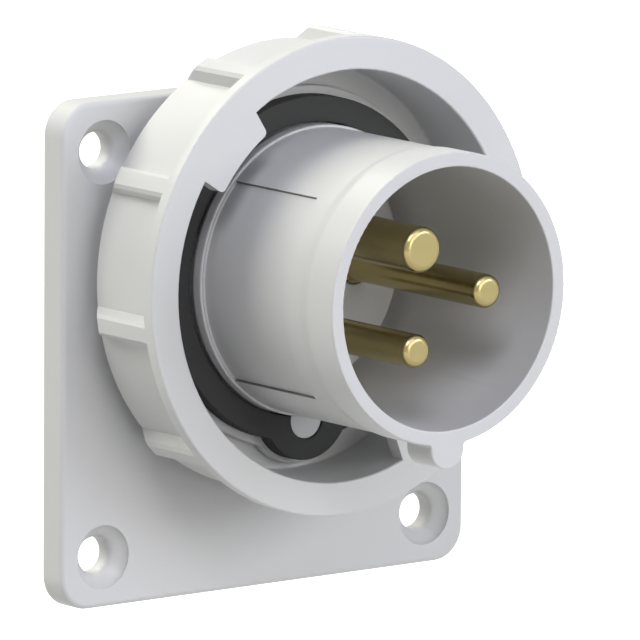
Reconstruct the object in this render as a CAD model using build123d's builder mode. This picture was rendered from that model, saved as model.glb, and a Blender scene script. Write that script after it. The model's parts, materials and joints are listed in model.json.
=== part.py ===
from build123d import *
import os
from math import cos, degrees, radians, sin

os.makedirs("parts", exist_ok=True)

# Panel inlet of the round pin-and-sleeve kind, two poles and earth, with a bayonet locking ring.
# Millimetres. X to the right, Z up, and the shroud points along -Y.
# The origin is the middle of the square flange, on its rear face.
# Every height along the shroud's axis is measured forward from that rear face.

# Flange
flange_size = 75.0
flange_thickness = 4.5
flange_corner = 5.0
flange_edge_round = 0.8
hole_inset = 7.5
screw_hole = 5.4
sink_width = 9.5
sink_angle = 90.0
sink_lip = 0.45
axis_rise = 11.2

# Shroud, with the key nose at its mouth and the post in line with it at its foot
shroud_radius = 21.25
shroud_length = 30.96
mouth_rise = 0.26
mouth_wall = 2.16
bore_draft = 0.45
mouth_band_length = 6.16
band_taper_length = 2.0
mouth_edge_round = 0.25
neck_groove = 0.65
lip_gap = 0.5
lip_rise = 0.35
lip_thickness = 1.7
lip_edge_round = 0.3
key_radius = 3.0
key_rise = 0.8
key_length = 6.0
key_end_round = 0.4
key_root_round = 0.6
post_radius = 2.85
post_rise = 1.15
post_recess = 0.35
panel_start_angle = 136.0
panel_span = 88.0
panel_gap = 0.15
panel_length = 19.2
panel_depth = 0.35

# Face seal, and the collar that holds it
seal_width = 3.9
seal_lobe_radius = 7.87
seal_thickness = 3.1
seal_stand = 2.5
seal_lip_clearance = 0.15
seal_post_clearance = 0.1
seal_clearance = 0.05
seal_edge_round = 0.2
lobe_inset = 1.4
collar_length = 1.2
collar_wall = 1.2
collar_lobe_wall = 0.8
collar_edge_round = 0.25

# Hub in front of the flange and tube behind it
collar_hook = 0.65
shoulder_width = 3.3
shoulder_height = 2.5
hub_wall = 2.1
ledge_width = 3.5
ledge_thickness = 2.3
tube_wall = 1.9
tube_length = 6.0

# Locking ring
ring_length = 16.0
ring_lobe_gap = 0.98
ring_wall = 2.85
ring_wall_draft = 0.15
ring_floor_thickness = 3.3
ring_floor_round = 0.5
ring_chamfer_length = 2.5
rim_thickness = 2.0
rim_edge_round = 0.35
grip_height = 2.15
grip_count = 10
grip_first_angle = 9.0
grip_top_width = 2.2
grip_edge_width = 3.3
grip_edge_drop = 0.45
grip_foot_width = 4.0
lug_reach = 3.8
lug_thickness = 2.5
lug_span = 24.7
lug_starts = (122.7, 291.35)
lug_corner_round = 0.8

# Fits of the ring, and the stop in its bore
running_clearance = 0.08
rear_play = 0.2
front_play = 0.3
turn_range = 45.0
stop_angle = 270.0
stop_span = 10.0
stop_rise = 1.3
stop_length = 2.0
stop_clearance = 0.25
stop_clearance_angle = 0.6

# Insert behind the shroud
pin_face_rise = 2.3
gutter_width = 2.0
gutter_depth = 2.6
spigot_clearance = 0.1
tab_width = 5.0
tab_rise = 1.0

# Pins
pin_pitch_radius = 8.7
line_diameter = 5.0
earth_diameter = 6.8
line_length = 39.1
earth_length = 40.3
pin_tip_round = 1.1
pin_root_rise = 0.4
pin_root_stand = 0.4
pin_clearance = 0.05
pin_well_gap = 0.3
pin_well_depth = 1.2
pin_boss_wall = 1.5
pin_boss_rise = 0.25
barrel_step = 0.8
barrel_length = 23.0
barrel_edge = 0.4
wire_hole = 4.2
wire_depth = 10.0

# Terminal block behind the insert
block_gap = 0.2
block_side_gap = 0.2
block_flange_thickness = 2.5
block_recess = 4.0
block_floor = 2.0
block_edge_round = 0.8
chamber_clearance = 0.1
wire_entry = 5.6
funnel_flare = 1.2
window_clearance = 0.4

# Screws
terminal_screw_diameter = 4.0
terminal_screw_length = 4.6
terminal_head_diameter = 5.6
terminal_head_height = 2.2
terminal_screw_setback = 3.8
block_screw_diameter = 3.5
block_screw_length = 15.0
block_screw_radius = 12.6
block_screw_angle = 60.0
block_head_diameter = 6.0
block_head_height = 2.2
block_head_depth = 15.0
thread_clearance = 0.05
shank_clearance = 0.15
head_clearance = 0.2
slot_width = 1.0
slot_depth = 1.0

# Gasket in the flange's rear face
gasket_gap = 0.5
gasket_width = 2.2
gasket_thickness = 1.4
gasket_clearance = 0.05

# Forms that join a body reach this far into it, and cuts start this far outside it
overlap = 1.0

# Radii, from the shroud outward: shroud, seal, collar, hub and ring
mouth_radius = shroud_radius + mouth_rise
mouth_bore = mouth_radius - mouth_wall
floor_bore = mouth_bore - bore_draft
pin_face_radius = floor_bore - gutter_width
shroud_neck_radius = shroud_radius - neck_groove
lip_radius = shroud_radius + lip_rise
key_drop = shroud_radius + key_rise
post_drop = shroud_radius + post_rise
seal_hole_radius = lip_radius + seal_lip_clearance
seal_pocket_radius = seal_hole_radius + seal_width
lobe_drop = key_drop - lobe_inset
collar_radius = seal_pocket_radius + collar_wall
collar_lobe_radius = seal_lobe_radius + collar_lobe_wall
neck_radius = collar_radius - collar_hook
shoulder_radius = neck_radius + shoulder_width
spigot_bore = neck_radius - hub_wall
spigot_radius = spigot_bore - spigot_clearance
tube_bore = spigot_bore - ledge_width
tube_radius = tube_bore + tube_wall
gasket_inner_radius = tube_radius + gasket_gap
gasket_outer_radius = gasket_inner_radius + gasket_width
ring_bore = neck_radius + running_clearance
ring_wall_radius = lobe_drop + collar_lobe_radius + ring_lobe_gap
ring_opening_radius = ring_wall_radius + ring_wall_draft
ring_body_radius = ring_opening_radius + ring_wall
ring_radius = ring_body_radius + grip_height
lug_radius = ring_opening_radius - lug_reach
barrel_radius = earth_diameter / 2 + barrel_step
chamber_radius = barrel_radius + chamber_clearance
block_radius = tube_radius - block_recess
hole_spacing = flange_size - 2 * hole_inset

# Heights along the axis, from the flange forward
shoulder_front = flange_thickness + shoulder_height
ring_back = shoulder_front + rear_play
ring_front = ring_back + ring_length
ring_floor = ring_back + ring_floor_thickness
collar_back = ring_floor + front_play
collar_front = collar_back + collar_length
seal_front = collar_front + seal_stand
seal_back = seal_front - seal_thickness
post_front = seal_front - post_recess
lip_back = seal_front + lip_gap
lip_front = lip_back + lip_thickness
mouth = lip_front + shroud_length
key_back = mouth - key_length
pin_face = collar_front + pin_face_rise
gutter_floor = pin_face - gutter_depth
ledge_front = flange_thickness + ledge_thickness
insert_back = ledge_front + block_gap
root_front = pin_face + pin_boss_rise + pin_root_stand
barrel_back = insert_back - barrel_length
block_front = ledge_front
block_seat = -tube_length
block_back = barrel_back - block_floor
terminal_height = barrel_back + terminal_screw_setback
block_screw_seat = block_back + block_head_depth
block_screw_front = block_screw_seat + block_screw_length

# The three pins stand evenly round the axis: line, earth and neutral
pin_angles = (0.0, 120.0, 240.0)
pin_names = ("line_pin", "earth_pin", "neutral_pin")
pin_diameters = (line_diameter, earth_diameter, line_diameter)
pin_lengths = (line_length, earth_length, line_length)

# Planes and the axis of everything round
flange_plane = Plane(origin=(0, 0, 0), x_dir=(1, 0, 0), z_dir=(0, -1, 0))
front = Plane(origin=(0, 0, axis_rise), x_dir=(1, 0, 0), z_dir=(0, -1, 0))
side = Plane(origin=(0, 0, axis_rise), x_dir=(0, -1, 0), z_dir=(-1, 0, 0))
axis = Axis((0, 0, axis_rise), (0, -1, 0))


def polar(radius, angle):
    """Point at a radius and an angle from +X, in a plane across the axis."""
    return (radius * cos(radians(angle)), radius * sin(radians(angle)))


def lobed_outline(radius, lobe):
    """Round outline with one round lobe at the bottom."""
    Circle(radius)
    with Locations((0, -lobe_drop)):
        Circle(lobe)


def sector(inner, outer, start, span):
    """Part of a flat ring, counter-clockwise from the start angle."""
    with BuildLine() as outline:
        ThreePointArc(polar(outer, start), polar(outer, start + span / 2), polar(outer, start + span))
        Line(polar(outer, start + span), polar(inner, start + span))
        ThreePointArc(polar(inner, start + span), polar(inner, start + span / 2), polar(inner, start))
        Line(polar(inner, start), polar(outer, start))
    make_face(outline.edges())


def across(angle, height):
    """Plane through the axis at a height, facing outward at an angle."""
    return Plane(
        origin=(0, -height, axis_rise),
        x_dir=(0, -1, 0),
        z_dir=(cos(radians(angle)), 0, sin(radians(angle))),
    )


# Flange, hub and rear tube: one moulding
with BuildPart() as flange_housing:
    with BuildSketch(flange_plane):
        RectangleRounded(flange_size, flange_size, flange_corner)
    extrude(amount=flange_thickness)
    fillet(flange_housing.faces().sort_by(Axis.Y)[0].edges(), flange_edge_round)
    # shoulder behind the ring, trimmed to the flat of the flange
    with BuildSketch(flange_plane.offset(flange_thickness)):
        with Locations((0, axis_rise)):
            Circle(shoulder_radius)
        Rectangle(
            flange_size - 2 * flange_edge_round,
            flange_size - 2 * flange_edge_round,
            mode=Mode.INTERSECT,
        )
    extrude(amount=shoulder_height)
    # neck that carries the ring, and the tube that goes through the panel
    with BuildSketch(front):
        Circle(neck_radius)
    extrude(amount=collar_back)
    with BuildSketch(front.offset(-tube_length)):
        Circle(tube_radius)
    extrude(amount=tube_length)
    # stop nib on the neck
    with BuildSketch(front.offset(shoulder_front)):
        sector(neck_radius - overlap, neck_radius + stop_rise, stop_angle - stop_span / 2, stop_span)
    extrude(amount=stop_length)
    # bore, and the wider seat for the insert's spigot with its tab
    with BuildSketch(front.offset(-tube_length)):
        Circle(tube_bore)
    extrude(amount=tube_length + collar_back, mode=Mode.SUBTRACT)
    with BuildSketch(front.offset(ledge_front)):
        Circle(spigot_bore)
        with Locations((0, spigot_bore)):
            Rectangle(tab_width + 2 * spigot_clearance, 2 * tab_rise)
    extrude(amount=collar_back - ledge_front, mode=Mode.SUBTRACT)
    # groove for the panel gasket
    with BuildSketch(front):
        Circle(gasket_outer_radius + gasket_clearance)
        Circle(gasket_inner_radius - gasket_clearance, mode=Mode.SUBTRACT)
    extrude(amount=gasket_thickness, mode=Mode.SUBTRACT)
    # four screw holes, each with a short straight lip in front of its countersink
    with Locations(flange_plane.offset(flange_thickness - sink_lip)):
        with GridLocations(hole_spacing, hole_spacing, 2, 2):
            CounterSinkHole(screw_hole / 2, sink_width / 2, counter_sink_angle=sink_angle)
flange_housing.part.label = "flange_housing"
export_step(flange_housing.part, "parts/flange_housing.step")

# Locking ring: turned form, grip pockets between the ribs, two lugs and the stop's pocket
with BuildSketch() as grip_pocket:
    grip_step = 360 / grip_count
    top_half = degrees(grip_top_width / 2 / ring_radius)
    edge_half = degrees(grip_edge_width / 2 / (ring_radius - grip_edge_drop))
    foot_half = degrees(grip_foot_width / 2 / ring_body_radius)
    last = grip_first_angle + grip_step
    middle = grip_first_angle + grip_step / 2
    with BuildLine():
        ThreePointArc(
            polar(ring_body_radius, grip_first_angle + foot_half),
            polar(ring_body_radius, middle),
            polar(ring_body_radius, last - foot_half),
        )
        Polyline(
            polar(ring_body_radius, last - foot_half),
            polar(ring_radius - grip_edge_drop, last - edge_half),
            polar(ring_radius, last - top_half),
            polar(ring_radius + overlap, last - top_half),
        )
        ThreePointArc(
            polar(ring_radius + overlap, last - top_half),
            polar(ring_radius + overlap, middle),
            polar(ring_radius + overlap, grip_first_angle + top_half),
        )
        Polyline(
            polar(ring_radius + overlap, grip_first_angle + top_half),
            polar(ring_radius, grip_first_angle + top_half),
            polar(ring_radius - grip_edge_drop, grip_first_angle + edge_half),
            polar(ring_body_radius, grip_first_angle + foot_half),
        )
    make_face()

with BuildPart() as locking_ring:
    with BuildSketch(side) as ring_section:
        with BuildLine():
            Polyline(
                (ring_back, ring_bore),
                (ring_back, ring_body_radius),
                (ring_back + ring_chamfer_length, ring_radius),
                (ring_front, ring_radius),
                (ring_front, ring_opening_radius),
                (ring_floor, ring_wall_radius),
                (ring_floor, ring_bore),
                close=True,
            )
        make_face()
        floor_corner = (ring_floor, ring_wall_radius)
        fillet(ring_section.vertices().sort_by_distance(floor_corner)[0], ring_floor_round)
        fillet(ring_section.vertices().sort_by(Axis.X)[-2:], rim_edge_round)
    revolve(axis=axis)
    # grip pockets behind the rim
    with BuildSketch(front.offset(ring_back - overlap)):
        with PolarLocations(0, grip_count):
            add(grip_pocket.sketch)
    extrude(amount=ring_length - rim_thickness + overlap, mode=Mode.SUBTRACT)
    # lugs that reach inward, flush with the front
    for lug_start in lug_starts:
        with BuildSketch(front.offset(ring_front - lug_thickness)) as lug:
            sector(lug_radius, ring_opening_radius + overlap, lug_start, lug_span)
            fillet(lug.vertices().sort_by_distance((0, 0))[:2], lug_corner_round)
        extrude(amount=lug_thickness)
    # pocket round the neck's stop nib, as long as the ring's turn
    with BuildSketch(front.offset(ring_back - overlap)):
        sector(
            ring_bore - overlap,
            neck_radius + stop_rise + stop_clearance,
            stop_angle - stop_span / 2 - stop_clearance_angle,
            stop_span + turn_range + 2 * stop_clearance_angle,
        )
    extrude(amount=overlap + stop_length + stop_clearance, mode=Mode.SUBTRACT)
locking_ring.part.label = "locking_ring"
export_step(locking_ring.part, "parts/locking_ring.step")

# Collar with one lobe at the bottom, rounded along its front edge
with BuildPart() as collar:
    with BuildSketch(front.offset(collar_back)):
        lobed_outline(collar_radius, collar_lobe_radius)
        Circle(shroud_neck_radius, mode=Mode.SUBTRACT)
    extrude(amount=collar_length)
    fillet(collar.faces().sort_by(Axis.Y)[0].outer_wire().edges(), collar_edge_round)

# Shroud, collar, pin face and spigot: one moulding
with BuildPart() as shroud_insert:
    # mouth with the key nose at the bottom, rounded at its rear end
    with BuildSketch(front.offset(key_back)):
        Circle(mouth_radius)
        with Locations((0, -key_drop)):
            Circle(key_radius)
    extrude(amount=key_length)
    nose_lines = shroud_insert.edges().filter_by(Axis.Y).filter_by(lambda e: e.center().Z < 0)
    fillet(nose_lines.sort_by_distance(front.offset(mouth - key_length / 2).origin)[:2], key_root_round)
    fillet(shroud_insert.faces().sort_by(Axis.Y)[-1].edges(), key_end_round)
    fillet(shroud_insert.faces().sort_by(Axis.Y)[0].edges(), mouth_edge_round)
    # turned form of the spigot, neck, lip and shroud, up to the nose's full outline
    with BuildSketch(side) as shroud_section:
        with BuildLine():
            Polyline(
                (insert_back, 0),
                (insert_back, spigot_radius),
                (seal_back, spigot_radius),
                (seal_back, shroud_neck_radius),
                (lip_back, shroud_neck_radius),
                (lip_back, lip_radius),
                (lip_front, lip_radius),
                (lip_front, shroud_radius),
                (mouth - mouth_band_length - band_taper_length, shroud_radius),
                (mouth - mouth_band_length, mouth_radius),
                (key_back + key_end_round, mouth_radius),
                (key_back + key_end_round, 0),
                close=True,
            )
        make_face()
        fillet(shroud_section.vertices().sort_by_distance((lip_front, lip_radius))[0], lip_edge_round)
    revolve(axis=axis)
    # collar with the seal's groove
    add(collar.part)
    with BuildSketch(front.offset(seal_back)):
        lobed_outline(seal_pocket_radius, seal_lobe_radius)
        Circle(shroud_neck_radius, mode=Mode.SUBTRACT)
    extrude(amount=collar_front - seal_back, mode=Mode.SUBTRACT)
    # round post through the seal, in line with the key nose
    with BuildSketch(front.offset(seal_back)):
        with Locations((0, -post_drop)):
            Circle(post_radius)
    extrude(amount=post_front - seal_back)
    # locating tab on the spigot
    with BuildSketch(front.offset(insert_back)):
        with Locations((0, spigot_radius)):
            Rectangle(tab_width, 2 * tab_rise)
    extrude(amount=collar_back - insert_back)
    # hollow of the shroud, with a gutter round the raised pin face
    with BuildSketch(side):
        with BuildLine():
            Polyline(
                (mouth, mouth_bore + mouth_edge_round),
                (mouth, 0),
                (pin_face, 0),
                (pin_face, pin_face_radius),
                (gutter_floor, pin_face_radius),
                (gutter_floor, floor_bore),
                (mouth - mouth_edge_round, mouth_bore),
            )
            CenterArc((mouth - mouth_edge_round, mouth_bore + mouth_edge_round), mouth_edge_round, 270, 90)
        make_face()
    revolve(axis=axis, mode=Mode.SUBTRACT)
    # shallow recessed panel on the left of the shroud
    with BuildSketch(front.offset(lip_front + panel_gap)):
        sector(shroud_radius - panel_depth, shroud_radius + overlap, panel_start_angle, panel_span)
    extrude(amount=panel_length, mode=Mode.SUBTRACT)
    # low boss, well and hole for each pin
    for angle, diameter in zip(pin_angles, pin_diameters):
        well_radius = diameter / 2 + pin_root_rise + pin_well_gap
        with BuildSketch(front.offset(pin_face)):
            with Locations(polar(pin_pitch_radius, angle)):
                Circle(well_radius + pin_boss_wall)
        extrude(amount=pin_boss_rise)
        with BuildSketch(front.offset(pin_face - pin_well_depth)):
            with Locations(polar(pin_pitch_radius, angle)):
                Circle(well_radius)
        extrude(amount=pin_well_depth + pin_boss_rise, mode=Mode.SUBTRACT)
        with BuildSketch(front.offset(insert_back)):
            with Locations(polar(pin_pitch_radius, angle)):
                Circle(diameter / 2 + pin_root_rise + pin_clearance)
        extrude(amount=pin_face - insert_back, mode=Mode.SUBTRACT)
    # blind holes for the screws of the terminal block
    with BuildSketch(front.offset(insert_back)):
        with PolarLocations(block_screw_radius, len(pin_angles), start_angle=block_screw_angle):
            Circle(block_screw_diameter / 2 + thread_clearance)
    extrude(amount=block_screw_front + head_clearance - insert_back, mode=Mode.SUBTRACT)
shroud_insert.part.label = "shroud_insert"
export_step(shroud_insert.part, "parts/shroud_insert.step")

# Face seal in the collar's groove
with BuildPart() as face_seal:
    with BuildSketch(front.offset(seal_back)):
        lobed_outline(seal_pocket_radius - seal_clearance, seal_lobe_radius - seal_clearance)
        Circle(seal_hole_radius, mode=Mode.SUBTRACT)
        with Locations((0, -post_drop)):
            Circle(post_radius + seal_post_clearance, mode=Mode.SUBTRACT)
    extrude(amount=seal_thickness)
    fillet(face_seal.faces().sort_by(Axis.Y)[0].edges(), seal_edge_round)
face_seal.part.label = "face_seal"
export_step(face_seal.part, "parts/face_seal.step")

# Pins: a round contact that steps up to a terminal barrel with a wire hole and a screw hole
for name, angle, diameter, length in zip(pin_names, pin_angles, pin_diameters, pin_lengths):
    pin_x, pin_z = polar(pin_pitch_radius, angle)
    pin_side = Plane(origin=(pin_x, 0, axis_rise + pin_z), x_dir=(0, -1, 0), z_dir=(-1, 0, 0))
    pin_axis = Axis((pin_x, 0, axis_rise + pin_z), (0, -1, 0))
    with BuildPart() as pin:
        with BuildSketch(pin_side) as pin_section:
            with BuildLine():
                Polyline(
                    (barrel_back, wire_hole / 2),
                    (barrel_back, barrel_radius),
                    (insert_back, barrel_radius),
                    (insert_back, diameter / 2 + pin_root_rise),
                    (root_front, diameter / 2 + pin_root_rise),
                    (root_front, diameter / 2),
                    (insert_back + length, diameter / 2),
                    (insert_back + length, 0),
                    (barrel_back + wire_depth, 0),
                    (barrel_back + wire_depth, wire_hole / 2),
                    close=True,
                )
            make_face()
            tip = (insert_back + length, diameter / 2)
            barrel_end = (barrel_back, barrel_radius)
            fillet(pin_section.vertices().sort_by_distance(tip)[0], pin_tip_round)
            chamfer(pin_section.vertices().sort_by_distance(barrel_end)[0], barrel_edge)
        revolve(axis=pin_axis)
        with BuildSketch(across(angle, terminal_height).offset(pin_pitch_radius)):
            Circle(terminal_screw_diameter / 2 + thread_clearance)
        extrude(amount=barrel_radius + overlap, mode=Mode.SUBTRACT)
    pin.part.label = name
    export_step(pin.part, f"parts/{name}.step")

# Terminal block: chambers for the barrels, wire funnels behind and screw windows outside
terminal_seat = pin_pitch_radius + wire_hole / 2 + terminal_screw_length
with BuildPart() as terminal_block:
    with BuildSketch(side) as block_section:
        with BuildLine():
            Polyline(
                (block_back, 0),
                (block_back, block_radius),
                (block_seat - block_flange_thickness, block_radius),
                (block_seat - block_flange_thickness, tube_radius),
                (block_seat, tube_radius),
                (block_seat, tube_bore - block_side_gap),
                (block_front, tube_bore - block_side_gap),
                (block_front, 0),
                close=True,
            )
        make_face()
        rear_corners = block_section.vertices().filter_by(lambda v: v.Y > block_radius - overlap)
        fillet(rear_corners.sort_by(Axis.X)[0], block_edge_round)
    revolve(axis=axis)
    with BuildSketch(front.offset(barrel_back)):
        with PolarLocations(pin_pitch_radius, len(pin_angles)):
            Circle(chamber_radius)
    extrude(amount=block_front - barrel_back, mode=Mode.SUBTRACT)
    # wire entries, flared at the rear
    with BuildSketch(front.offset(block_back)):
        with PolarLocations(pin_pitch_radius, len(pin_angles)):
            Circle(wire_entry / 2)
    extrude(amount=block_floor, mode=Mode.SUBTRACT)
    rear_rims = terminal_block.faces().sort_by(Axis.Y)[-1].edges().sort_by(SortBy.RADIUS)
    chamfer(rear_rims[:len(pin_angles)], funnel_flare)
    # windows for the screwdriver, one for each pin
    for angle in pin_angles:
        with BuildSketch(across(angle, terminal_height).offset(pin_pitch_radius)):
            Circle(terminal_head_diameter / 2 + window_clearance)
        extrude(amount=block_radius, mode=Mode.SUBTRACT)
    # seats and clearance holes of the three fixing screws
    with BuildSketch(front.offset(block_back)):
        with PolarLocations(block_screw_radius, len(pin_angles), start_angle=block_screw_angle):
            Circle(block_head_diameter / 2 + head_clearance)
    extrude(amount=block_head_depth, mode=Mode.SUBTRACT)
    with BuildSketch(front.offset(block_screw_seat)):
        with PolarLocations(block_screw_radius, len(pin_angles), start_angle=block_screw_angle):
            Circle(block_screw_diameter / 2 + shank_clearance)
    extrude(amount=block_front - block_screw_seat, mode=Mode.SUBTRACT)
terminal_block.part.label = "terminal_block"
export_step(terminal_block.part, "parts/terminal_block.step")

# Terminal screws, pointing at the wire hole of each barrel
with BuildPart() as terminal_screws:
    for angle in pin_angles:
        outward = across(angle, terminal_height)
        with BuildSketch(outward.offset(terminal_seat - terminal_screw_length)):
            Circle(terminal_screw_diameter / 2)
        extrude(amount=terminal_screw_length)
        with BuildSketch(outward.offset(terminal_seat)):
            Circle(terminal_head_diameter / 2)
        extrude(amount=terminal_head_height)
        with BuildSketch(outward.offset(terminal_seat + terminal_head_height - slot_depth)):
            Rectangle(terminal_head_diameter + overlap, slot_width)
        extrude(amount=slot_depth, mode=Mode.SUBTRACT)
terminal_screws.part.label = "terminal_screws"
export_step(terminal_screws.part, "parts/terminal_screws.step")

# Fixing screws that pull the terminal block and the insert together
with BuildPart() as block_screws:
    with BuildSketch(front.offset(block_screw_seat)):
        with PolarLocations(block_screw_radius, len(pin_angles), start_angle=block_screw_angle):
            Circle(block_screw_diameter / 2)
    extrude(amount=block_screw_length)
    with BuildSketch(front.offset(block_screw_seat - block_head_height)):
        with PolarLocations(block_screw_radius, len(pin_angles), start_angle=block_screw_angle):
            Circle(block_head_diameter / 2)
    extrude(amount=block_head_height)
    with BuildSketch(front.offset(block_screw_seat - block_head_height)):
        with PolarLocations(block_screw_radius, len(pin_angles), start_angle=block_screw_angle):
            Rectangle(block_head_diameter + overlap, slot_width)
    extrude(amount=slot_depth, mode=Mode.SUBTRACT)
block_screws.part.label = "block_screws"
export_step(block_screws.part, "parts/block_screws.step")

# Gasket in the rear face's groove
with BuildPart() as panel_gasket:
    with BuildSketch(front):
        Circle(gasket_outer_radius)
        Circle(gasket_inner_radius, mode=Mode.SUBTRACT)
    extrude(amount=gasket_thickness)
panel_gasket.part.label = "panel_gasket"
export_step(panel_gasket.part, "parts/panel_gasket.step")
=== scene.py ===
import bmesh
import bpy
import json
import math
from functools import partial
from mathutils import Matrix, Vector


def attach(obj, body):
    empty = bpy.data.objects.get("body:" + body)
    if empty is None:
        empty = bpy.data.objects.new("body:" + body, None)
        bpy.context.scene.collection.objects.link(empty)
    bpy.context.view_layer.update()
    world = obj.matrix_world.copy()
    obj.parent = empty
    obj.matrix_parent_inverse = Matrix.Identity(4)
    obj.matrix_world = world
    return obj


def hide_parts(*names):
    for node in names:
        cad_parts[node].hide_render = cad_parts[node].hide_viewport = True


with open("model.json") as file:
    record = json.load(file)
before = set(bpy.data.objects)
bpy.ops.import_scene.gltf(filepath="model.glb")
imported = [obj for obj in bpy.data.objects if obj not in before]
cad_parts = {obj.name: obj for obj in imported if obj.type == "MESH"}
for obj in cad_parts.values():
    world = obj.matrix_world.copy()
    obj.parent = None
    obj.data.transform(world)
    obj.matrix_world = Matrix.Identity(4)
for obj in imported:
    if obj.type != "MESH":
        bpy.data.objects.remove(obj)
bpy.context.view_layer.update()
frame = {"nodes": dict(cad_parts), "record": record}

# Sizes in metres. The origin is on the flange's rear face, midway between its four holes.
# The shroud points along -Y, and its axis lies above the origin.
AXIS_RISE = 0.0112

# Pins: distance from the shroud's axis, angle round it in degrees, end face before the origin
PIN_PITCH = 0.0087
PIN_ANGLES = {"line_pin": 0.0, "earth_pin": 120.0, "neutral_pin": 240.0}
PIN_FRONTS = {"line_pin": 0.0461, "earth_pin": 0.0473, "neutral_pin": 0.0461}


# ---------------------------------------------------------------- node helpers

def set_node(tree, kind, values=None, **settings):
    """New node with its settings, and its sockets set or linked by name or number."""
    node = tree.nodes.new(kind)
    for key, value in settings.items():
        setattr(node, key, value)
    for key, value in (values or {}).items():
        if isinstance(value, bpy.types.NodeSocket):
            tree.links.new(value, node.inputs[key])
        else:
            node.inputs[key].default_value = value
    return node


def math_node(tree, operation, *values):
    """Socket with the result of an operation on numbers or sockets."""
    return set_node(tree, "ShaderNodeMath", dict(enumerate(values)), operation=operation).outputs[0]


def noise(tree, vector, scale, detail):
    """Socket with soft noise round a middle of 0.5."""
    values = {"Vector": vector, "Scale": scale, "Detail": detail}
    return set_node(tree, "ShaderNodeTexNoise", values).outputs["Fac"]


def blend_values(tree, factor, low, high):
    """Socket that goes from low, where the factor is 0, to high, where it is 1."""
    values = {"Value": factor, "To Min": low, "To Max": high}
    return set_node(tree, "ShaderNodeMapRange", values).outputs["Result"]


def add_inputs(tree, rows):
    """Named inputs of a node tree, one for each row of name, kind and value."""
    for label, kind, value in rows:
        socket = tree.interface.new_socket(label, in_out="INPUT", socket_type="NodeSocket" + kind)
        if value is not None:
            socket.default_value = value


def add_group(name, values, outputs):
    """Shader node group with a Vector and named numbers in and numbers out."""
    tree = bpy.data.node_groups.new(name, "ShaderNodeTree")
    add_inputs(tree, [("Vector", "Vector", None)])
    add_inputs(tree, [(label, "Float", value) for label, value in values.items()])
    for label in outputs:
        tree.interface.new_socket(label, in_out="OUTPUT", socket_type="NodeSocketFloat")
    return tree, tree.nodes.new("NodeGroupInput").outputs


# ---------------------------------------------------------------- shared shader groups

SURFACE_OUTPUTS = ("Tone", "Roughness", "Height")
NOISE_MIDDLE = 0.5
PIT_DETAIL = 3.0
DRIFT_DETAIL = 2.0
GROOVE_DETAIL = 2.0
STAIN_SCALE = 260.0
STAIN_DETAIL = 3.0
STAIN_TONES = (0.9, 1.08)
LINE_TONE = 0.3


def build_moulded_grain():
    """Grain of a spark-eroded mould: fine pits, and a slow drift of tone and gloss."""
    tree, given = add_group("moulded_grain", {
        "Pit Scale": 2600.0, "Drift Scale": 55.0, "Gloss Low": 0.38, "Gloss High": 0.5,
        "Drift": 0.03}, SURFACE_OUTPUTS)
    calc = partial(math_node, tree)
    pits = noise(tree, given["Vector"], given["Pit Scale"], PIT_DETAIL)
    drift = noise(tree, given["Vector"], given["Drift Scale"], DRIFT_DETAIL)
    shift = calc("MULTIPLY", calc("SUBTRACT", drift, NOISE_MIDDLE), given["Drift"])
    mean = calc("MULTIPLY", calc("ADD", drift, pits), 0.5)
    gloss = blend_values(tree, mean, given["Gloss Low"], given["Gloss High"])
    set_node(tree, "NodeGroupOutput", {
        "Tone": calc("ADD", shift, 1.0), "Roughness": gloss, "Height": pits})
    return tree


def build_turning_marks_and_tip_shade():
    """Marks of a turning tool on a pin that runs along Y from its end face at 0, and painted shade
    on its end face and rounded edge.
    """
    # the end and round tones set here are painted shade that darkens the pin's tip
    tree, given = add_group("turning_marks_and_tip_shade", {
        "Pitch Scale": 9000.0, "Gloss Low": 0.2, "Gloss High": 0.32,
        "End Depth": 0.00003, "End Painted Shade": 0.62, "End Gloss": 0.2,
        "Round Depth": 0.0011, "Round Painted Shade": 0.78}, SURFACE_OUTPUTS)
    calc = partial(math_node, tree)
    place = set_node(tree, "ShaderNodeSeparateXYZ", {0: given["Vector"]}).outputs

    # rings on the end face and grooves round the side, with a slow stain over both
    square_x = calc("MULTIPLY", place["X"], place["X"])
    square_z = calc("MULTIPLY", place["Z"], place["Z"])
    radius = calc("SQRT", calc("ADD", square_x, square_z))
    turned = set_node(tree, "ShaderNodeCombineXYZ", {"X": radius, "Y": place["Y"]}).outputs[0]
    grooves = noise(tree, turned, given["Pitch Scale"], GROOVE_DETAIL)
    stain = noise(tree, given["Vector"], STAIN_SCALE, STAIN_DETAIL)

    # painted shade: the end face and the rounded edge behind it are darkened, standing in for the
    # darker reflections that they show
    on_end = calc("LESS_THAN", place["Y"], given["End Depth"])
    on_round = calc("LESS_THAN", place["Y"], given["Round Depth"])
    tone = blend_values(tree, on_round, 1.0, given["Round Painted Shade"])
    tone = blend_values(tree, on_end, tone, given["End Painted Shade"])
    tone = calc("MULTIPLY", blend_values(tree, stain, *STAIN_TONES), tone)
    gloss = blend_values(tree, grooves, given["Gloss Low"], given["Gloss High"])
    gloss = calc("ADD", gloss, calc("MULTIPLY", on_end, given["End Gloss"]))
    set_node(tree, "NodeGroupOutput", {"Tone": tone, "Roughness": gloss, "Height": grooves})
    return tree


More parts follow.
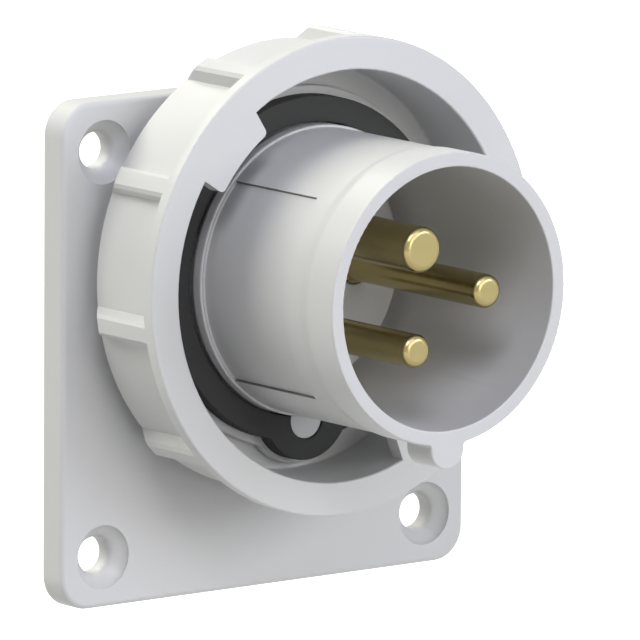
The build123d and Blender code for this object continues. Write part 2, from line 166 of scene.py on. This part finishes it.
def build_panel_edge_lines():
    """Dark lines along the top and bottom edges of the shroud's recessed panel: two straight lines
    along the shroud.

    They lie at equal angles above and below the level of the axis.
    """
    tree, given = add_group("panel_edge_lines", {
        "Edge Angle": 2.0, "Radius": 0.02, "Front": -0.03, "Back": -0.01,
        "Half Width": 0.0001}, ("Tone",))
    calc = partial(math_node, tree)
    place = set_node(tree, "ShaderNodeSeparateXYZ", {0: given["Vector"]}).outputs
    side = calc("ABSOLUTE", calc("ARCTAN2", place["Z"], place["X"]))
    turn_away = calc("ABSOLUTE", calc("SUBTRACT", side, given["Edge Angle"]))
    away = calc("MULTIPLY", turn_away, given["Radius"])
    on_line = calc("LESS_THAN", away, given["Half Width"])
    past_front = calc("GREATER_THAN", place["Y"], given["Front"])
    before_back = calc("LESS_THAN", place["Y"], given["Back"])
    on_length = calc("MULTIPLY", past_front, before_back)
    mask = calc("MULTIPLY", on_line, on_length)
    set_node(tree, "NodeGroupOutput", {"Tone": blend_values(tree, mask, 1.0, LINE_TONE)})
    return tree


moulded_grain = build_moulded_grain()
turning_marks_and_tip_shade = build_turning_marks_and_tip_shade()
panel_edge_lines = build_panel_edge_lines()


# ---------------------------------------------------------------- materials

RELIEF_DEPTH = 0.00002
PLAIN_SHINE = 0.5
RUBBER_SHINE = 0.25


def add_material(name, group, colour, values, bump,
                 metallic=0.0, centre=(0.0, 0.0, 0.0), shine=PLAIN_SHINE, line=None):
    """Principled material with a shared group on Object coordinates from a centre."""
    material = bpy.data.materials.new(name)
    material.use_nodes = True
    tree = material.node_tree
    place = set_node(tree, "ShaderNodeMapping", {
        "Location": tuple(-c for c in centre),
        "Vector": tree.nodes.new("ShaderNodeTexCoord").outputs["Object"]}).outputs[0]
    effect = set_node(tree, "ShaderNodeGroup", {**values, "Vector": place}, node_tree=group)
    tone = effect.outputs["Tone"]
    if line:
        lines = set_node(tree, "ShaderNodeGroup", {**line, "Vector": place}, node_tree=panel_edge_lines)
        tone = math_node(tree, "MULTIPLY", tone, lines.outputs["Tone"])
    grey = set_node(tree, "ShaderNodeCombineColor", {"Red": tone, "Green": tone, "Blue": tone})
    tint = set_node(tree, "ShaderNodeMix", {
        "Factor": 1.0, "A": (*colour, 1.0), "B": grey.outputs[0]},
        data_type="RGBA", blend_type="MULTIPLY")
    relief = set_node(tree, "ShaderNodeBump", {
        "Strength": bump, "Distance": RELIEF_DEPTH, "Height": effect.outputs["Height"]})
    shader = tree.nodes["Principled BSDF"]
    shader.inputs["Metallic"].default_value = metallic
    shader.inputs["Specular IOR Level"].default_value = shine
    tree.links.new(tint.outputs["Result"], shader.inputs["Base Color"])
    tree.links.new(effect.outputs["Roughness"], shader.inputs["Roughness"])
    tree.links.new(relief.outputs["Normal"], shader.inputs["Normal"])
    return material


def pin_centre(name):
    """Middle of a pin's end face."""
    angle = math.radians(PIN_ANGLES[name])
    across = PIN_PITCH * math.cos(angle)
    return (across, -PIN_FRONTS[name], AXIS_RISE + PIN_PITCH * math.sin(angle))


SATIN_GLOSS = {"Gloss Low": 0.27, "Gloss High": 0.38}
BRASS_COLOUR = (0.45, 0.375, 0.17)
BRASS_MARKS = {"Pitch Scale": 14000.0, "Gloss Low": 0.21, "Gloss High": 0.29}

housing_plastic = add_material(
    "light_grey_housing", moulded_grain, (0.60, 0.60, 0.597), {}, bump=0.25)
ring_plastic = add_material(
    "light_grey_ring", moulded_grain, (0.63, 0.63, 0.622), SATIN_GLOSS, bump=0.15)
insert_plastic = add_material(
    "light_grey_insert", moulded_grain, (0.60, 0.598, 0.592), SATIN_GLOSS, bump=0.15,
    centre=(0.0, 0.0, AXIS_RISE),
    line={"Edge Angle": math.radians(136.0), "Radius": 0.0216, "Front": -0.03605,
          "Back": -0.01685, "Half Width": 0.00006})
seal_rubber = add_material(
    "black_seal_rubber", moulded_grain, (0.048, 0.048, 0.046),
    {"Gloss Low": 0.6, "Gloss High": 0.8, "Pit Scale": 1800.0, "Drift": 0.2},
    bump=0.4, shine=RUBBER_SHINE)
block_plastic = add_material(
    "grey_block_plastic", moulded_grain, (0.5, 0.5, 0.5), {}, bump=0.25)
screw_steel = add_material(
    "zinc_plated_steel", moulded_grain, (0.62, 0.62, 0.6),
    {"Gloss Low": 0.25, "Gloss High": 0.42, "Drift": 0.15}, bump=0.3, metallic=1.0)

finishes = {
    "flange_housing": housing_plastic,
    "locking_ring": ring_plastic,
    "shroud_insert": insert_plastic,
    "face_seal": seal_rubber,
    "panel_gasket": seal_rubber,
    "terminal_block": block_plastic,
}
# each pin's brass gets painted shade on its tip from the shared group
for pin_name in PIN_ANGLES:
    finishes[pin_name] = add_material(
        "turned_brass_" + pin_name, turning_marks_and_tip_shade, BRASS_COLOUR, BRASS_MARKS,
        bump=0.03, metallic=1.0, centre=pin_centre(pin_name))


# ---------------------------------------------------------------- the moulded and turned pieces

# Points that lie this near are one point, edges this short are taken out,
# and faces that turn less than this against each other are one face
SAME_POINT = 2e-6
NO_LENGTH = 1e-7
FLAT_TURN = math.radians(0.3)

# A face narrower than this is part of an edge round; a sharper turn than these is a crisp edge
STRIP_WIDTH = 0.0003
ROUND_TURN = math.radians(50)
CORNER_TURN = math.radians(28)

body_of_node = {node: body for body, members in frame["record"]["behaviour"]["bodies"].items()
                for node in members}


def is_strip(face):
    """True for the narrow facets that an edge round is made of."""
    return 2 * face.calc_area() / face.calc_perimeter() < STRIP_WIDTH


def plain_mesh(piece):
    """The piece's mesh with its modifiers worked in and taken off."""
    graph = bpy.context.evaluated_depsgraph_get()
    baked = bpy.data.meshes.new_from_object(piece.evaluated_get(graph))
    piece.modifiers.clear()
    return baked


def shade_edges(form, turn_limit):
    """Smooth faces, with an edge crisp where it turns as far as turn_limit(edge) or further."""
    for face in form.faces:
        face.smooth = True
    for edge in form.edges:
        turn = edge.calc_face_angle(0.0)
        edge.smooth = len(edge.link_faces) == 2 and turn < turn_limit(edge)


def put_in_place(piece, node):
    """The piece stands for the node and rides on its body."""
    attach(piece, body_of_node[node])
    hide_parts(node)


def finish_surface(node, material):
    """Merged copy of a node's mesh with smooth rounds and crisp corners."""
    form = bmesh.new()
    form.from_mesh(frame["nodes"][node].data)
    bmesh.ops.remove_doubles(form, verts=form.verts, dist=SAME_POINT)
    bmesh.ops.dissolve_degenerate(form, edges=form.edges, dist=NO_LENGTH)
    bmesh.ops.dissolve_limit(form, angle_limit=FLAT_TURN, verts=form.verts, edges=form.edges)
    strips = {face: is_strip(face) for face in form.faces}

    def turn_limit(edge):
        return ROUND_TURN if any(strips[face] for face in edge.link_faces) else CORNER_TURN

    shade_edges(form, turn_limit)
    mesh = bpy.data.meshes.new(node + "_surface")
    form.to_mesh(mesh)
    form.free()
    mesh.materials.append(material)
    piece = bpy.data.objects.new(node + "_surface", mesh)
    bpy.context.scene.collection.objects.link(piece)
    weighted = piece.modifiers.new("even_normals", "WEIGHTED_NORMAL")
    weighted.keep_sharp = True
    weighted.mode = "FACE_AREA"
    piece.data = plain_mesh(piece)
    return piece


for node, material in finishes.items():
    put_in_place(finish_surface(node, material), node)


# ---------------------------------------------------------------- slotted screws with a real thread

SHEET_SIDE = 1.0
SHANK_SIDES = 32
SHANK_OVERLAP = 0.0002
SHANK_WELD = 1e-6
TIP_SLOPE = 4.0
ROOT_SLOPE = 100.0
HEAD_SIDES = 48
CHAMFER_SHARE = 0.16
BAR_LENGTH = 3.0


def build_screw_tree():
    """Screws in a ring round the axis: a threaded shank, a chamfered head and its slot."""
    tree = bpy.data.node_groups.new("slotted_screws", "GeometryNodeTree")
    tree.interface.new_socket("Geometry", in_out="OUTPUT", socket_type="NodeSocketGeometry")
    add_inputs(tree, (
        ("Count", "Int", 3), ("Ring Radius", "Float", 0.0126), ("First Angle", "Float", 0.0),
        ("Outward", "Float", 0.0), ("Shank Radius", "Float", 0.002),
        ("Shank Length", "Float", 0.0046), ("Pitch", "Float", 0.0007),
        ("Thread Depth", "Float", 0.0003), ("Head Radius", "Float", 0.0028),
        ("Head Height", "Float", 0.0022), ("Slot Width", "Float", 0.001),
        ("Slot Depth", "Float", 0.001), ("Rows", "Int", 60), ("Material", "Material", None),
    ))
    given = tree.nodes.new("NodeGroupInput").outputs
    add = partial(set_node, tree)
    calc = partial(math_node, tree)

    def vector(x=0.0, y=0.0, z=0.0):
        return add("ShaderNodeCombineXYZ", {"X": x, "Y": y, "Z": z}).outputs[0]

    def position():
        return tree.nodes.new("GeometryNodeInputPosition").outputs[0]

    # sheet: one side runs round the shank, the other runs down from the head to the tip
    sheet = add("GeometryNodeMeshGrid", {
        "Size X": SHEET_SIDE, "Size Y": SHEET_SIDE,
        "Vertices X": SHANK_SIDES + 1, "Vertices Y": given["Rows"]})
    place = add("ShaderNodeSeparateXYZ", {0: position()}).outputs
    turn = calc("ADD", place["X"], SHEET_SIDE / 2)
    down = calc("ADD", place["Y"], SHEET_SIDE / 2)
    depth = calc("MULTIPLY", down, given["Shank Length"])

    # thread: a valley that winds down by one pitch in a turn
    wave = calc("FRACT", calc("SUBTRACT", calc("DIVIDE", depth, given["Pitch"]), turn))
    valley = calc("ABSOLUTE", calc("SUBTRACT", calc("MULTIPLY", wave, 2.0), 1.0))
    cut = calc("MULTIPLY", valley, given["Thread Depth"])
    thread = calc("SUBTRACT", given["Shank Radius"], cut)

    # shank: the sheet rolled up round Z, closed by a cone at the tip and nearly flat at the root
    tip = calc("MULTIPLY", calc("SUBTRACT", given["Shank Length"], depth), TIP_SLOPE)
    root = calc("MULTIPLY", depth, ROOT_SLOPE)
    radius = calc("MINIMUM", calc("MINIMUM", thread, tip), root)
    angle = calc("MULTIPLY", turn, 2 * math.pi)
    rolled = vector(calc("MULTIPLY", radius, calc("COSINE", angle)),
                    calc("MULTIPLY", radius, calc("SINE", angle)),
                    calc("SUBTRACT", SHANK_OVERLAP, depth))
    shank = add("GeometryNodeSetPosition", {
        "Geometry": sheet.outputs["Mesh"], "Position": rolled})
    shank = add("GeometryNodeMergeByDistance", {
        "Geometry": shank.outputs[0], "Distance": SHANK_WELD})

    # head: a drum with a chamfered top
    chamfer = calc("MULTIPLY", given["Head Height"], CHAMFER_SHARE)
    drum_height = calc("SUBTRACT", given["Head Height"], chamfer)
    drum = add("GeometryNodeMeshCylinder", {
        "Vertices": HEAD_SIDES, "Radius": given["Head Radius"], "Depth": drum_height})
    drum = add("GeometryNodeTransform", {
        "Geometry": drum.outputs["Mesh"],
        "Translation": vector(z=calc("MULTIPLY", drum_height, 0.5))})
    top = add("GeometryNodeMeshCone", {
        "Vertices": HEAD_SIDES, "Radius Top": calc("SUBTRACT", given["Head Radius"], chamfer),
        "Radius Bottom": given["Head Radius"], "Depth": chamfer})
    top = add("GeometryNodeTransform", {
        "Geometry": top.outputs["Mesh"], "Translation": vector(z=drum_height)})
    head = add("GeometryNodeMeshBoolean", {"Mesh 2": drum.outputs[0]},
               operation="UNION", solver="EXACT")
    tree.links.new(top.outputs[0], head.inputs["Mesh 2"])

    # slot: a bar that is centred on the head's top, so it is twice as high as the slot is deep
    bar = add("GeometryNodeMeshCube", {"Size": vector(
        calc("MULTIPLY", given["Head Radius"], BAR_LENGTH), given["Slot Width"],
        calc("MULTIPLY", given["Slot Depth"], 2.0))})
    bar = add("GeometryNodeTransform", {
        "Geometry": bar.outputs["Mesh"], "Translation": vector(z=given["Head Height"])})
    head = add("GeometryNodeMeshBoolean", {
        "Mesh 1": head.outputs["Mesh"], "Mesh 2": bar.outputs[0]},
        operation="DIFFERENCE", solver="EXACT")
    screw = tree.nodes.new("GeometryNodeJoinGeometry")
    for part in (head.outputs["Mesh"], shank.outputs[0]):
        tree.links.new(part, screw.inputs[0])

    # places: a ring in the XZ plane
    places = add("GeometryNodeMeshCircle", {
        "Vertices": given["Count"], "Radius": given["Ring Radius"]})
    places = add("GeometryNodeTransform", {
        "Geometry": places.outputs["Mesh"], "Rotation": vector(z=given["First Angle"])})
    places = add("GeometryNodeTransform", {
        "Geometry": places.outputs[0], "Rotation": (math.pi / 2, 0.0, 0.0)})

    # each screw's head points away from the axis where Outward is 1, and rearward where it is 0
    outward = add("ShaderNodeVectorMath", {0: position()}, operation="NORMALIZE")
    pointing = add("ShaderNodeVectorMath", {0: outward.outputs[0], "Scale": given["Outward"]},
                   operation="SCALE")
    rearward = vector(y=calc("SUBTRACT", 1.0, given["Outward"]))
    heading = add("ShaderNodeVectorMath", {0: pointing.outputs[0], 1: rearward},
                  operation="ADD")
    aim = add("FunctionNodeAlignRotationToVector", {"Vector": heading.outputs[0]}, axis="Z")
    ring = add("GeometryNodeInstanceOnPoints", {
        "Points": places.outputs[0], "Instance": screw.outputs[0], "Rotation": aim.outputs[0]})
    whole = add("GeometryNodeRealizeInstances", {0: ring.outputs[0]})
    dressed = add("GeometryNodeSetMaterial", {
        "Geometry": whole.outputs[0], "Material": given["Material"]})
    add("NodeGroupOutput", {0: dressed.outputs[0]})
    return tree


screw_tree = build_screw_tree()
screw_inputs = {item.name: item.identifier for item in screw_tree.interface.items_tree
                if item.in_out == "INPUT"}


def add_screws(node, behind, values):
    """One ring of screws behind the flange's rear face, as a mesh that stands for the node."""
    name = node + "_threaded"
    piece = bpy.data.objects.new(name, bpy.data.meshes.new(name))
    bpy.context.scene.collection.objects.link(piece)
    modifier = piece.modifiers.new("slotted_screws", "NODES")
    modifier.node_group = screw_tree
    for label, value in values.items():
        modifier[screw_inputs[label]] = value
    modifier[screw_inputs["Material"]] = screw_steel
    mesh = plain_mesh(piece)
    form = bmesh.new()
    form.from_mesh(mesh)
    bmesh.ops.translate(form, verts=form.verts, vec=(0.0, behind, AXIS_RISE))
    bmesh.ops.recalc_face_normals(form, faces=form.faces)
    shade_edges(form, lambda edge: CORNER_TURN)
    form.to_mesh(mesh)
    form.free()
    piece.data = mesh
    put_in_place(piece, node)


add_screws("terminal_screws", behind=0.0122, values={
    "Ring Radius": 0.0154, "Outward": 1.0, "Shank Radius": 0.002, "Shank Length": 0.0046,
    "Pitch": 0.0007, "Thread Depth": 0.0003, "Head Radius": 0.0028, "Head Height": 0.0022,
    "Rows": 56})
add_screws("block_screws", behind=0.003, values={
    "Ring Radius": 0.0126, "First Angle": math.radians(60.0), "Outward": 0.0,
    "Shank Radius": 0.00175, "Shank Length": 0.015, "Pitch": 0.00125,
    "Thread Depth": 0.0004, "Head Radius": 0.003, "Head Height": 0.0022, "Rows": 100})


# ---------------------------------------------------------------- studio

BLACK = (0.0, 0.0, 0.0, 1.0)
WHITE = (1.0, 1.0, 1.0, 1.0)
FLOOR_GREY = (0.52, 0.52, 0.52, 1.0)
FLOOR_ROUGHNESS = 0.9
FLOOR_REACH = 6.0
FLOOR_HEIGHT = -0.16
OBJECT_MIDDLE = Vector((0.0, -0.02, 0.0))


def seen_directly(tree):
    """1 for camera, mirror and glass rays, 0 for the rays that light the object."""
    path = tree.nodes.new("ShaderNodeLightPath")
    seen = math_node(tree, "MAXIMUM", path.outputs["Is Camera Ray"], path.outputs["Is Glossy Ray"])
    return math_node(tree, "MAXIMUM", seen, path.outputs["Is Transmission Ray"])


floor_mesh = bpy.data.meshes.new("studio_floor")
corners = [(x * FLOOR_REACH, y * FLOOR_REACH, FLOOR_HEIGHT)
           for x, y in ((-1, -1), (1, -1), (1, 1), (-1, 1))]
floor_mesh.from_pydata(corners, [], [(0, 1, 2, 3)])
floor = bpy.data.objects.new("studio_floor", floor_mesh)
bpy.context.scene.collection.objects.link(floor)
floor_material = bpy.data.materials.new("studio_floor")
floor_material.use_nodes = True
floor_tree = floor_material.node_tree
floor_shader = floor_tree.nodes["Principled BSDF"]
floor_shader.inputs["Base Color"].default_value = FLOOR_GREY
floor_shader.inputs["Roughness"].default_value = FLOOR_ROUGHNESS
floor_shader.inputs["Emission Color"].default_value = WHITE

# white away from the object, darker below it so that the shadow stays
spot = set_node(floor_tree, "ShaderNodeVectorMath", {
    0: floor_tree.nodes.new("ShaderNodeTexCoord").outputs["Object"]}, operation="LENGTH")
glow = set_node(floor_tree, "ShaderNodeMapRange", {
    "Value": spot.outputs["Value"], "From Min": 0.2, "From Max": 0.6,
    "To Min": 0.5, "To Max": 1.0})
floor_light = math_node(floor_tree, "MULTIPLY", seen_directly(floor_tree), glow.outputs["Result"])
floor_tree.links.new(floor_light, floor_shader.inputs["Emission Strength"])
floor.data.materials.append(floor_material)

# world: black for the rays that light the object, white where it is seen
world = bpy.data.worlds.new("studio_world")
bpy.context.scene.world = world
world.use_nodes = True
world_tree = world.node_tree
background = world_tree.nodes["Background"]
background.inputs["Color"].default_value = BLACK
white = set_node(world_tree, "ShaderNodeBackground", {"Color": WHITE})
choose = set_node(world_tree, "ShaderNodeMixShader", {
    "Fac": seen_directly(world_tree), 1: background.outputs[0], 2: white.outputs[0]})
world_tree.links.new(choose.outputs[0], world_tree.nodes["World Output"].inputs["Surface"])


def add_lamp(name, place, size, power, colour):
    """Soft square lamp aimed at the object; its side in metres, its power in watts."""
    lamp = bpy.data.lights.new(name, "AREA")
    lamp.shape = "SQUARE"
    lamp.size = size
    lamp.energy = power
    lamp.color = colour
    holder = bpy.data.objects.new(name, lamp)
    holder.location = place
    aim = OBJECT_MIDDLE - Vector(place)
    holder.rotation_mode = "QUATERNION"
    holder.rotation_quaternion = aim.to_track_quat("-Z", "Y")
    bpy.context.scene.collection.objects.link(holder)


add_lamp("back_above", (-0.1, 0.9, 1.4), 0.9, 13.5, (1.0, 0.975, 0.84))
add_lamp("back_left", (-1.1, 0.7, 1.2), 0.9, 18.2, (0.99, 1.0, 0.9))
add_lamp("key_above_left", (-0.8, -0.9, 1.3), 0.7, 12.4, (0.905, 0.905, 1.0))
add_lamp("fill_front", (0.0, -1.8, 0.45), 0.9, 8.3, (1.0, 0.98, 0.93))
add_lamp("fill_above", (0.1, -1.2, 1.3), 0.8, 5.0, (0.66, 0.735, 1.0))
add_lamp("fill_right", (1.0, -1.5, 0.5), 0.9, 13.2, (0.88, 0.905, 1.0))

# camera: the photograph's place, direction and lens
right = Vector((0.78774314, -0.61597372, 0.00609305))
up = Vector((0.09848567, 0.13570091, 0.9858427))
back = Vector((-0.60808003, -0.77599074, 0.16756205))
camera_place = Vector((-1.21504191, -1.56794053, 0.33879763))
camera_data = bpy.data.cameras.new("photo_camera")
camera_data.sensor_width = 36.0
camera_data.lens = 767.1077
camera_data.clip_start = 0.05
camera_data.clip_end = 50.0
camera = bpy.data.objects.new("photo_camera", camera_data)
camera.matrix_world = Matrix((
    (right.x, up.x, back.x, camera_place.x),
    (right.y, up.y, back.y, camera_place.y),
    (right.z, up.z, back.z, camera_place.z),
    (0.0, 0.0, 0.0, 1.0),
))
bpy.context.scene.collection.objects.link(camera)
bpy.context.scene.camera = camera
bpy.context.scene.view_settings.view_transform = "Standard"
